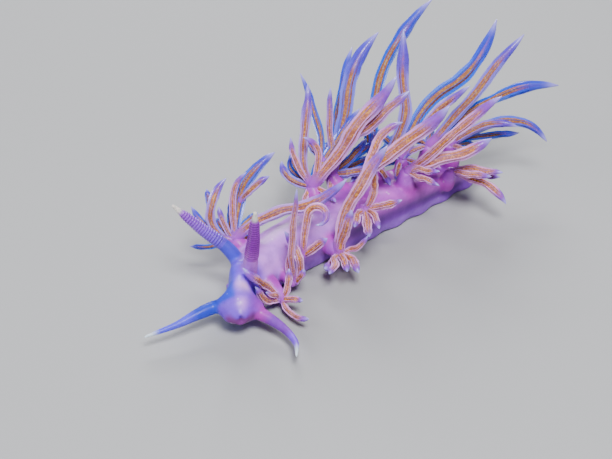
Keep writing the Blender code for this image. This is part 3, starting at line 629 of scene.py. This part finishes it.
class Shade:
    """A socket of a material. Arithmetic on it adds Math nodes, and made() adds any other node."""

    def __init__(self, tree, socket):
        self.tree, self.socket = tree, socket

    def made(self, kind, settings, sockets, output=0):
        """The given output of a new node, after its settings and then its sockets are set."""
        node = self.tree.nodes.new(kind)
        for key, value in settings.items():
            setattr(node, key, value)
        for key, value in sockets.items():
            if isinstance(value, Shade):
                self.tree.links.new(value.socket, node.inputs[key])
            else:
                node.inputs[key].default_value = value
        return Shade(self.tree, node.outputs[output])

    def math(self, operation, *values):
        return self.made("ShaderNodeMath", {"operation": operation}, dict(enumerate(values)))

    def rise(self, low, high):
        """The share s of the way from low to high, held between 0 and 1, and made 3s^2 - 2s^3."""
        settings = {"interpolation_type": "SMOOTHSTEP"}
        return self.made("ShaderNodeMapRange", settings, {0: self, 1: low, 2: high})

    def mixed(self, *colours):
        """The first of two colours where this value is 0, the second where it is 1."""
        first, second = (value if isinstance(value, Shade) else (*value, 1.0) for value in colours)
        return self.made("ShaderNodeMix", {"data_type": "RGBA"}, {0: self, 6: first, 7: second}, 2)

    def times(self, colour):
        """This colour multiplied by another one."""
        settings = {"data_type": "RGBA", "blend_type": "MULTIPLY"}
        return self.made("ShaderNodeMix", settings, {0: 1.0, 6: self, 7: colour}, 2)

    def stored(self, name, output=2):
        """What the mesh stores for its points under a name: a number, or with output 0 a colour."""
        return self.made("ShaderNodeAttribute", {"attribute_name": name}, {}, output)

    def noise(self, scale, detail):
        """Cloudy noise around 0.5, with about so many clouds to the metre."""
        return self.made("ShaderNodeTexNoise", {}, {"Vector": self, "Scale": scale, "Detail": detail})

    def cells(self, scale):
        """The distance to the middle of the nearest of irregular cells, about so many to the metre."""
        return self.made("ShaderNodeTexVoronoi", {}, {"Vector": self, "Scale": scale})

    def raised(self, strength, height):
        """The normals of a surface that rises by this value times a height in millimetres."""
        sockets = {"Strength": strength, "Distance": height * MM, "Height": self}
        return self.made("ShaderNodeBump", {}, sockets)

    def __add__(self, other):
        return self.math("ADD", self, other)

    def __sub__(self, other):
        return self.math("SUBTRACT", self, other)

    def __rsub__(self, other):
        return self.math("SUBTRACT", other, self)

    def __mul__(self, other):
        return self.math("MULTIPLY", self, other)

    __radd__, __rmul__ = __add__, __mul__


def flesh(name, roughness, scatter, depth, coat):
    """A wet flesh material: its shader, and a Shade to build on."""
    material = bpy.data.materials.new(name)
    material.use_nodes = True
    tree = material.node_tree
    shader = tree.nodes["Principled BSDF"]
    for key, value in {
        "Roughness": roughness, "Subsurface Weight": scatter, "Subsurface Scale": depth * MM,
        "Subsurface Radius": (1.0, 0.55, 0.8), "Coat Weight": coat, "Coat Roughness": 0.12, "IOR": 1.38,
    }.items():
        shader.inputs[key].default_value = value
    start = Shade(tree, tree.nodes.new("ShaderNodeTexCoord").outputs["Object"])
    return material, shader, start


def joined_to(shader, name, value):
    """Feed one socket of the shader."""
    value.tree.links.new(value.socket, shader.inputs[name])


def grown(pieces, voxel):
    """One skin around overlapping closed shapes: its mesh, points, and the ends of its edges."""
    counts = np.cumsum([0] + [len(points) for points, _, _ in pieces])
    rough = mesh_of(
        "rough", np.concatenate([points for points, _, _ in pieces]) / MM,
        np.concatenate([quads + start for (_, quads, _), start in zip(pieces, counts)]),
        np.concatenate([fans + start for (_, _, fans), start in zip(pieces, counts)]),
    )
    block = placed("rough", rough)
    remesh = block.modifiers.new("voxels", "REMESH")
    remesh.mode = "VOXEL"
    remesh.voxel_size = voxel
    graph = bpy.context.evaluated_depsgraph_get()
    mesh = bpy.data.meshes.new_from_object(block.evaluated_get(graph))
    bpy.data.objects.remove(block)
    points = np.empty(len(mesh.vertices) * 3, np.float32)
    mesh.vertices.foreach_get("co", points)
    ends = np.empty(len(mesh.edges) * 2, np.int32)
    mesh.edges.foreach_get("vertices", ends)
    return mesh, points.reshape(-1, 3).astype(float), ends.reshape(-1, 2)


def averaged(values, ends, degree):
    """For each point, the mean of its neighbours' values."""
    total = np.empty_like(values)
    for k in range(values.shape[1]):
        total[:, k] = (
            np.bincount(ends[:, 0], values[ends[:, 1], k], len(values))
            + np.bincount(ends[:, 1], values[ends[:, 0], k], len(values))
        )
    return total / degree[:, None]


def body_place(points):
    """Where points lie on the body: station, angle from the top, and distance from its oval."""
    distances = np.linspace(0.0, BODY_LENGTH, FINE_READINGS)
    nearest, offset, side, wide, high = nearest_station(points, distances)
    angle = np.degrees(np.arctan2(side, offset[:, 2]))
    return distances[nearest], angle, (np.hypot(side / wide, offset[:, 2] / high) - 1.0) * wide


def limb_place(points, path, radii):
    """Where points lie on a limb: the share of its length, and the distance from its surface."""
    apart = np.linalg.norm(points[:, None, :] - path[None], axis=-1) - radii[None]
    nearest = apart.argmin(1)
    return nearest / (len(path) - 1.0), apart[np.arange(len(points)), nearest]


shapes = [(body_shape, *body_faces)]
for path, radii in limbs.values():
    shapes.append(tube_shape(path[None], radii[None], LINE_SIDES))
skin_mesh, skin, ends = grown(shapes, VOXEL)
degree = np.bincount(ends.ravel(), minlength=len(skin)).astype(float)
for _ in range(EVEN_PASSES):
    skin += 0.5 * (averaged(skin, ends, degree) - skin)
along_body, body_angle, off_body = body_place(skin)
limb_share = {name: limb_place(skin, *limb) for name, limb in limbs.items()}
off_limb = np.min([off for _, off in limb_share.values()], axis=0)
hollow = np.exp(-(np.abs(off_body) + np.abs(off_limb)) ** 2 / HOLLOW_WIDTH**2)[:, None]
for _ in range(HOLLOW_PASSES):
    skin += 0.5 * hollow * (averaged(skin, ends, degree) - skin)
skin[:, 2] = np.maximum(skin[:, 2], 0.0)
skin_mesh.vertices.foreach_set("co", (skin * MM).ravel().astype(np.float32))
skin_mesh.shade_smooth()
skin_mesh.update()


def tinted(base, *coats):
    """Colours moved towards the colour of each coat in turn, by its share."""
    for colour, share in coats:
        share = np.clip(share, 0.0, 1.0)[:, None]
        base = base * (1.0 - share) + colour * share
    return base


def read(at, run, rows):
    """Rows of numbers at places between given ones, along straight lines."""
    return np.stack([np.interp(at, run, column) for column in np.transpose(rows)], -1)


# Where each coat lies, by station and by the angle from the top, which is below 0 on the left.
steep = np.abs(body_angle)
rear = rise(17.0, 30.0, along_body)
tint = tinted(
    PALE_LILAC,
    (PINK, 0.75 * rear),
    (MAGENTA, 0.75 * bell(body_angle, 10.0, 26.0) * rise(8.0, 11.0, along_body)),
    # Violet low on the flanks, more at the rear, is partly the body's own colour and partly painted shade.
    (VIOLET, rise(58.0, 100.0, steep) * (0.35 + 0.6 * rear)),
    # A deep violet band along the middle of each flank, below the stalks' ridges, is painted shade.
    (SHADE_VIOLET, 0.75 * rise(14.0, 22.0, along_body) * bell(steep, 88.0, 16.0)),
    (MARGIN, 0.8 * rise(102.0, 120.0, steep)),
    (VIOLET, 0.7 * rise(38.0, 46.0, along_body)),
)
# The right of the head is painted blue, as backlight.
backlit_neck = bell(along_body, 5.2, 1.8) * rise(-5.0, 25.0, body_angle)
backlit_cheek = rise(4.0, 20.0, body_angle) * rise(0.9, 1.6, along_body)
mouth = (1.0 - rise(0.15, 0.75, along_body)) * rise(50.0, 95.0, steep)
head_tint = tinted(
    LILAC,
    (BACKLIGHT_BLUE_LILAC, 0.75 * backlit_neck),
    (BACKLIGHT_BLUE, 0.92 * backlit_cheek * (1.0 - rise(3.4, 5.0, along_body))),
    # A pale patch on the brow is a painted highlight.
    (BROW_HIGHLIGHT, bell(along_body, 3.0, 0.75) * bell(body_angle, -14.0, 20.0)),
    (PALE_LILAC, 0.7 * bell(along_body, 0.8, 0.75) * bell(body_angle, -14.0, 27.0)),
    (PINK, 0.6 * bell(along_body, 1.5, 1.2) * bell(body_angle, -75.0, 35.0)),
    (LIP, 0.9 * mouth),
)
tint = tinted(tint, (head_tint, 1.0 - rise(6.5, 9.0, along_body)))
# The right feeler and the skin round the right horn's root are painted blue, as backlight.
LIMB_COLOURS = {
    "oral_tentacle_right": (BACKLIGHT_BLUE,) * 6 + (BACKLIGHT_BLUE_LILAC,) * 5 + (TIP_WHITE,) * 2,
    "oral_tentacle_left": (PINK,) * 3 + (VIOLET,) * 3 + (LILAC,) * 2 + (TIP_WHITE,) * 2,
    "rhinophore_right": (BACKLIGHT_BLUE_LILAC, BACKLIGHT_BLUE_LILAC * 0.7),
    "rhinophore_left": (PALE_LILAC, PALE_LILAC * 0.5 + PINK * 0.5),
    "corner": (VIOLET, LILAC, PALE_LILAC, PALE_LILAC),
    "right": (MAGENTA, PINK, PINK, CERAS_ROOT),
    "left": (PINK, PINK, CERAS_ROOT, CERAS_ROOT),
}
for name, (share, off) in limb_share.items():
    colours = LIMB_COLOURS.get(name) or LIMB_COLOURS[name.split("_")[1]]
    own = read(share, np.linspace(0.0, 1.0, len(colours)), colours)
    near = (1.0 - rise(-0.1, 0.5, off)) * rise(0.0, 0.6, off_body)
    tint = tinted(tint, (own, near))
painted(skin_mesh, "tint", tint)

skin_flesh, shader, place = flesh("skin_flesh", roughness=0.42, scatter=0.18, depth=0.5, coat=0.08)
clouds = place.noise(700.0, 3.0)
grains = place.noise(4200.0, 2.0)
dots = (1.0 - place.cells(900.0).rise(0.08, 0.18)) * clouds.rise(0.54, 0.66) * 0.4
shade = clouds.rise(0.3, 0.7).mixed(*SKIN_SHADES)
joined_to(shader, "Base Color", dots.mixed(place.stored("tint", 0).times(shade), DOT))
joined_to(shader, "Roughness", 0.34 + grains * 0.18)
joined_to(shader, "Normal", (grains * 0.6 + clouds).raised(0.35, 0.03))
skin_piece = placed("body_skin", skin_mesh, skin_flesh)
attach(skin_piece, "root")
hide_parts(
    "head", "trunk_front", "trunk_middle", "trunk_rear", "tail",
    "oral_tentacle_left", "oral_tentacle_right", "foot_corner_left", "foot_corner_right",
)

# Rhinophores: the two horns on the head, smelling organs. Soft solid flesh with a stack of thin
# collars around it, that rises out of the skin and ends in a smooth cream tip. Places on a horn are
# shares of its length. Within the skin it is slimmer, by the share HORN_HIDDEN of its radius.
RING_COUNT = 18
RING_FROM, RING_TO = 0.32, 0.88
RING_HEIGHT = 0.085
HORN_FROM, HORN_HIDDEN, HORN_ROUND = 0.2, 0.8, 0.03
HORN_RINGS, HORN_SIDES, HORN_READINGS = 260, 40, 400
CREAM, HORN_SHADES = np.array([0.72, 0.69, 0.64]), ((0.8, 0.8, 0.84), (1.15, 1.12, 1.1))
HORN_COLOUR_AT = (HORN_FROM, 0.5, 0.9)
# The right horn is painted bluer than the left, most at its root, as backlight.
HORN_COLOURS = {
    "rhinophore_right": ((0.056, 0.053, 0.64), (0.24, 0.07, 0.80), (0.34, 0.06, 0.68)),
    "rhinophore_left": ((0.58, 0.12, 0.78), (0.26, 0.010, 0.42), (0.28, 0.02, 0.48)),
}
for name, (points, radii) in RHINOPHORES.items():
    share = np.linspace(HORN_FROM, 1.0, HORN_RINGS)
    path = read(share, np.linspace(0.0, 1.0, HORN_READINGS), through(points, HORN_READINGS))
    phase = (share - RING_FROM) / (RING_TO - RING_FROM) * RING_COUNT
    ringed = rise(0.0, 1.0, phase) * (1.0 - rise(RING_COUNT - 1.0, RING_COUNT, phase))
    collar = (0.5 - 0.5 * np.cos(2.0 * math.pi * (phase + 0.12 * np.sin(2.0 * math.pi * phase)))) ** 1.5
    thick = np.interp(share, np.linspace(0.0, 1.0, len(radii)), radii)
    thick = thick * rise(-0.3, 0.2, (1.0 - share) / HORN_ROUND)
    thick = thick * np.interp(share, (HORN_FROM, RHINOPHORE_FREE), (HORN_HIDDEN, 1.0))
    thick = thick + RING_HEIGHT * ringed * collar
    horn, quads, fans = tube_shape(path[None], thick[None], HORN_SIDES)
    mesh = mesh_of(name + "_horn", horn, quads, fans)
    at = np.append(np.repeat(share, HORN_SIDES), (share[0], share[-1]))
    # The grooves between the collars are painted darker, as shade.
    groove_shade = np.append(np.repeat(ringed * (1.0 - collar), HORN_SIDES), (0.0, 0.0))
    tint = read(at, HORN_COLOUR_AT, HORN_COLOURS[name])
    cream = rise(RING_TO - 0.02, RING_TO + 0.04, at)
    tint = tinted(tint, (0.45 * tint, 0.8 * groove_shade), (CREAM, cream))
    painted(mesh, "tint", tint)
    horn_flesh, shader, place = flesh(name + "_flesh", roughness=0.34, scatter=0.15, depth=0.3, coat=0.2)
    grains = place.noise(5200.0, 2.0)
    shade = grains.rise(0.25, 0.75).mixed(*HORN_SHADES)
    joined_to(shader, "Base Color", place.stored("tint", 0).times(shade))
    joined_to(shader, "Normal", grains.raised(0.3, 0.02))
    piece = placed(name + "_horn", mesh, horn_flesh)
    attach(piece, "root")
    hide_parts(name)

# Cerata: soft fingers in clusters on the stalks. Each is a clear sheath with a grainy orange gland
# inside, a violet band near its end and a white tip. Thin folds run along it between the two, so
# that it looks denser beside the gland than in front of it.
RINGS, SHEATH_SIDES, CORE_SIDES = 30, 14, 10
SHEATH_ALPHA, FOLD_ALPHA = 0.05, 0.85
# How far aside a middle line strays, and the roughness of the sheath in slow and in fast waves:
# height, and radians to the length.
WAVER, ROUGHNESS = 0.006, ((0.05, 12.0, 24.0), (0.025, 40.0, 60.0))
WAVER_SEED, ROUGH_SEED, EARLY_SEED = 5, 11, 23
# How blue the cerata are painted, as backlight: by cluster on the right, from the front, and on the left.
# One that leans away is bluer.
FARNESS = dict(zip(CLUSTERS, (0.6, 0.55, 0.8, 0.95, 0.95, 0.9, 0.75)))
NEAR_FARNESS, LEAN_FARNESS, FARNESS_SPREAD = 0.15, 1.6, 0.1
# How much sooner the gland ends, as a share of the length, and how fat the sheath is beyond it.
EARLY, EARLY_FAR = (-0.03, 0.07), 0.06
SWELL_HEIGHT, SWELL_AT, SWELL_WIDTH = 1.1, 0.82, 0.11
# Folds run from one share of the radius to another, along all rings but the last two.
FOLD_SIDES, FOLD_FROM, FOLD_TO, FOLD_END = 7, 0.5, 0.96, RINGS - 2
# The gland: its shares of the ceras's radius and length.
CORE_NEAR, CORE_FAR = 0.68, 0.57
CORE_FROM, CORE_TO = 0.02, 0.92
# Colours of near and far sheaths, of the band near their end, of their tips and of their sheen; the
# far ones are painted blue backlight. Then two for far glands, two for near ones, and those of the
# grains and the end of a gland; the far glands' darker ochre and the near ones' peach are painted
# shade and light on one gland.
RIM_NEAR, RIM_FAR = (0.92, 0.46, 1.0), (0.002, 0.13, 0.95)
BAND_NEAR, BAND_FAR = (0.34, 0.07, 0.80), (0.05, 0.07, 0.86)
CERAS_TIP, SHEEN = (0.42, 0.36, 0.95), (0.35, 0.65, 1.0, 1.0)
OCHRE = (0.46, 0.185, 0.0002), (0.56, 0.30, 0.0003)
PEACH = (0.66, 0.24, 0.001), (0.80, 0.39, 0.002)
GRAIN, GLAND_END = (0.36, 0.11, 0.0003), (0.62, 0.16, 0.24)
# The map OFBake: corners of a quad, and how much of its strip a tube takes up.
SQUARE = ((0, 0), (1, 0), (1, 1), (0, 1))
STRIP_EDGE, STRIP_END = 0.04, 0.002


def atlas(mesh, count, rings, sides):
    """Give joined tubes the map OFBake: a strip for each tube, around it across and along it up."""
    i, j = np.indices((rings - 1, sides))
    quads = [np.stack([j + aside, (i + 1.0 + up) / (rings + 1.0)], -1) for aside, up in SQUARE]
    j = np.arange(sides)
    edge, end = 1.0 / (rings + 1.0), rings / (rings + 1.0)
    fans = [
        np.stack([np.stack([j + aside, 0 * j + up], -1) for aside, up in triangle], -2)
        for triangle in (
            ((1, edge), (0, edge), (0.5, STRIP_END)),
            ((0, end), (1, end), (0.5, 1.0 - STRIP_END)),
        )
    ]
    strip = 1.0 / count
    start = np.arange(count) * strip
    corners = []
    for part in (np.stack(quads, -2), np.concatenate(fans)):
        spot = np.repeat(part.reshape(1, -1, 2), count, axis=0).astype(float)
        within = STRIP_EDGE + (1.0 - 2.0 * STRIP_EDGE) * spot[..., 0] / sides
        spot[..., 0] = start[:, None] + strip * within
        corners.append(spot.reshape(-1, 2))
    layer = mesh.uv_layers.new(name="OFBake")
    layer.data.foreach_set("uv", np.concatenate(corners).astype(np.float32).ravel())


def waves(pick, reach, slow, fast):
    """Sines along each ceras, of between slow and fast radians to its length, from any start."""
    rate = pick.uniform(slow, fast, (len(lines), 1))
    return np.sin(reach[None] * rate + pick.uniform(0.0, 6.0, (len(lines), 1)))


def ceras_lines(reach):
    """Middle lines and radii of the cerata at shares s of their length.

    A middle line strays aside by 4s(1 - s) times a wave.
    """
    pick = np.random.default_rng(WAVER_SEED)
    stray = WAVER * waves(pick, reach, 9.0, 17.0) * 4.0 * reach * (1.0 - reach)
    aside = np.cross(lines[:, -1] - lines[:, 0], NEARER)[:, None, :]
    return (
        np.stack([hermite(LINE, path, reach) for path in lines]) + stray[..., None] * aside,
        np.stack([hermite(LINE, radius[:, None], reach)[:, 0] for radius in line_radii]),
    )


draw = np.random.default_rng(ROUGH_SEED)
share = np.linspace(0.0, 1.0, RINGS)
paths, radii = ceras_lines(share)
for height, slow, fast in ROUGHNESS:
    radii *= 1.0 + height * waves(draw, share, slow, fast)
radii *= np.interp(share, (0.0, 0.93, 0.985, 1.0), (1.0, 1.0, 0.85, 0.55))
# How far each ceras lies and leans away: it sets how blue the ceras is painted, as backlight, and also its
# gland's width and end.
far = np.array([FARNESS.get(name, NEAR_FARNESS) for name in clusters])
far = far - LEAN_FARNESS * unit(lines[:, -1] - lines[:, 0]) @ NEARER
far = np.clip(far + draw.uniform(-FARNESS_SPREAD, FARNESS_SPREAD, len(clusters)), 0.0, 1.0)
early = np.random.default_rng(EARLY_SEED).uniform(*EARLY, len(clusters)) + EARLY_FAR * far
radii *= 1.0 + SWELL_HEIGHT * early[:, None] * bell(share, SWELL_AT, SWELL_WIDTH)
sheath_points, quads, fans = tube_shape(paths, radii, SHEATH_SIDES)
sheath_mesh = mesh_of("cerata_sheaths", sheath_points, quads, fans)
atlas(sheath_mesh, len(paths), RINGS, SHEATH_SIDES)


def each_point(values, sides):
    """Values of the rings of each tube, given to every point of the tubes."""
    rings = np.repeat(values[..., None], sides, axis=-1).reshape(len(values), -1)
    return np.concatenate([rings, values[:, :1], values[:, -1:]], 1).ravel()


def measured(mesh, name, values):
    """Store a number for each point of a mesh."""
    mesh.attributes.new(name, "FLOAT", "POINT").data.foreach_set("value", values.astype(np.float32))


def marks(reach):
    """For the rings of the cerata: share of the length, far side or near, which sets the painted blue
    backlight, and how soon the gland ends.
    """
    whole = np.ones((len(paths), len(reach)))
    return {"along": reach * whole, "far": far[:, None] * whole, "early": early[:, None] * whole}


for name, values in marks(share).items():
    measured(sheath_mesh, name, each_point(values, SHEATH_SIDES))
measured(sheath_mesh, "solid", np.full(len(sheath_points), SHEATH_ALPHA))
sheath_flesh, shader, place = flesh("sheath_flesh", roughness=0.25, scatter=0.0, depth=0.5, coat=0.25)
reach, blue = place.stored("along"), place.stored("far")
clouds = place.noise(900.0, 2.0)
# Far sheaths and their bands are painted blue, as backlight, near ones lilac.
low = blue.mixed(RIM_NEAR, RIM_FAR)
high = blue.mixed(BAND_NEAR, BAND_FAR)
drift = reach + clouds * 0.2 - 0.1 + place.stored("early")
colour = drift.rise(0.66, 0.92).mixed(low, high)
colour = reach.rise(0.86, 1.0).mixed(colour, CERAS_TIP)
joined_to(shader, "Base Color", reach.rise(0.04, 0.2).mixed(CERAS_ROOT.tolist(), colour))
root_cover = (1.0 - reach.rise(0.02, 0.16)) * 0.8
# Near sheaths are made cloudier and paler: the clouds are the sheath's own, and keeping them to the near
# side is painted front light.
frost_and_front_light = (1.0 - blue) * (clouds.rise(0.35, 0.65) * 0.13 + 0.01)
solid = drift.rise(0.74, 0.96) * 0.6 + reach.rise(0.86, 0.98) * 0.2 + root_cover + frost_and_front_light
joined_to(shader, "Alpha", solid + place.stored("solid"))
joined_to(shader, "Normal", place.noise(5000.0, 2.0).raised(0.25, 0.02))
shader.inputs["Sheen Weight"].default_value = 0.7
shader.inputs["Sheen Roughness"].default_value = 0.3
shader.inputs["Sheen Tint"].default_value = SHEEN
sheaths = placed("cerata_sheaths", sheath_mesh, sheath_flesh)
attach(sheaths, "root")
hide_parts(*CLUSTERS)

fold_rings = np.stack([
    tube_rings(paths[:, :FOLD_END], radii[:, :FOLD_END] * part, FOLD_SIDES) for part in (FOLD_FROM, FOLD_TO)
], -2)
ceras, ring, side = np.indices((len(paths), FOLD_END - 1, FOLD_SIDES))
low = 2 * ((ceras * FOLD_END + ring) * FOLD_SIDES + side)
high = low + 2 * FOLD_SIDES
quads = np.stack([low, low + 1, high + 1, high], -1).reshape(-1, 4)
fold_mesh = mesh_of("cerata_folds", fold_rings.reshape(-1, 3), quads)
corners = np.stack([
    np.stack([
        (ceras + (side + 0.1 + 0.8 * aside) / FOLD_SIDES) / len(paths),
        (ring + up) / (FOLD_END - 1.0),
    ], -1)
    for aside, up in SQUARE
], -2)
fold_mesh.uv_layers.new(name="OFBake").data.foreach_set("uv", corners.astype(np.float32).ravel())
for name, values in marks(share[:FOLD_END]).items():
    measured(fold_mesh, name, np.repeat(values.ravel(), 2 * FOLD_SIDES))
measured(fold_mesh, "solid", np.full(fold_rings.size // 3, FOLD_ALPHA))
folds = placed("cerata_folds", fold_mesh, sheath_flesh)
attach(folds, "root")

core_share = np.linspace(CORE_FROM, CORE_TO, RINGS)
core_paths, core_radii = ceras_lines(core_share)
core_radii *= (CORE_NEAR + (CORE_FAR - CORE_NEAR) * far)[:, None]
core_radii *= 1.0 + 0.05 * draw.standard_normal(core_radii.shape)
core_radii *= np.interp(core_share + early[:, None], (0.0, 0.6, 0.88, 1.0), (0.85, 1.0, 0.85, 0.3))
core_points, quads, fans = tube_shape(core_paths, core_radii, CORE_SIDES)
core_mesh = mesh_of("cerata_cores", core_points, quads, fans)
atlas(core_mesh, len(paths), RINGS, CORE_SIDES)
for name, values in marks(core_share).items():
    measured(core_mesh, name, each_point(values, CORE_SIDES))
core_flesh, shader, place = flesh("core_flesh", roughness=0.6, scatter=0.0, depth=0.5, coat=0.0)
lumps = place.cells(3600.0)
patches = place.noise(1500.0, 3.0).rise(0.35, 0.65)
# Far glands are painted darker ochre and near ones brighter peach: shaded and lit copies of one gland.
colour = place.stored("far").mixed(patches.mixed(*PEACH), patches.mixed(*OCHRE))
colour = lumps.rise(0.25, 0.6).mixed(colour, GRAIN)
end = (place.stored("along") + place.stored("early")).rise(0.74, 0.96)
joined_to(shader, "Base Color", end.mixed(colour, GLAND_END))
joined_to(shader, "Normal", lumps.raised(0.6, 0.05))
cores = placed("cerata_cores", core_mesh, core_flesh)
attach(cores, "root")

# Stage: a plain pale floor and soft studio light, which aren't part of the animal. A lamp has its
# place and width in millimetres, and its power in watts.
FLOOR_REACH, FLOOR_DROP = 600.0, 0.02
corners = np.column_stack([(2.0 * np.array(SQUARE) - 1.0) * FLOOR_REACH, np.full(4, -FLOOR_DROP)])
floor_mesh = mesh_of("floor", corners, np.array([[0, 1, 2, 3]]))
floor_paint = bpy.data.materials.new("floor_paint")
floor_paint.use_nodes = True
paint = floor_paint.node_tree.nodes["Principled BSDF"].inputs
paint["Base Color"].default_value = (0.38, 0.385, 0.40, 1.0)
paint["Roughness"].default_value = 0.8
placed("floor", floor_mesh, floor_paint)
world = bpy.data.worlds.new("studio")
world.use_nodes = True
sky = world.node_tree.nodes["Background"].inputs
sky["Color"].default_value = (0.86, 0.9, 1.0, 1.0)
sky["Strength"].default_value = 0.1
bpy.context.scene.world = world
LIGHTS = {
    "key": ((-80.0, -170.0, 330.0), 130.0, 2.15),
    "fill": ((-300.0, 60.0, 160.0), 220.0, 0.42),
    "rim": ((180.0, 260.0, 220.0), 160.0, 1.6),
}
for name, (spot, width, power) in LIGHTS.items():
    lamp = bpy.data.lights.new(name, "AREA")
    lamp.size = width * MM
    lamp.energy = power
    backward = unit(np.array(spot) - LOOKED_AT)
    sideways = unit(np.cross(VERTICAL, backward))
    stood(name, lamp, sideways, np.cross(backward, sideways), backward, spot)
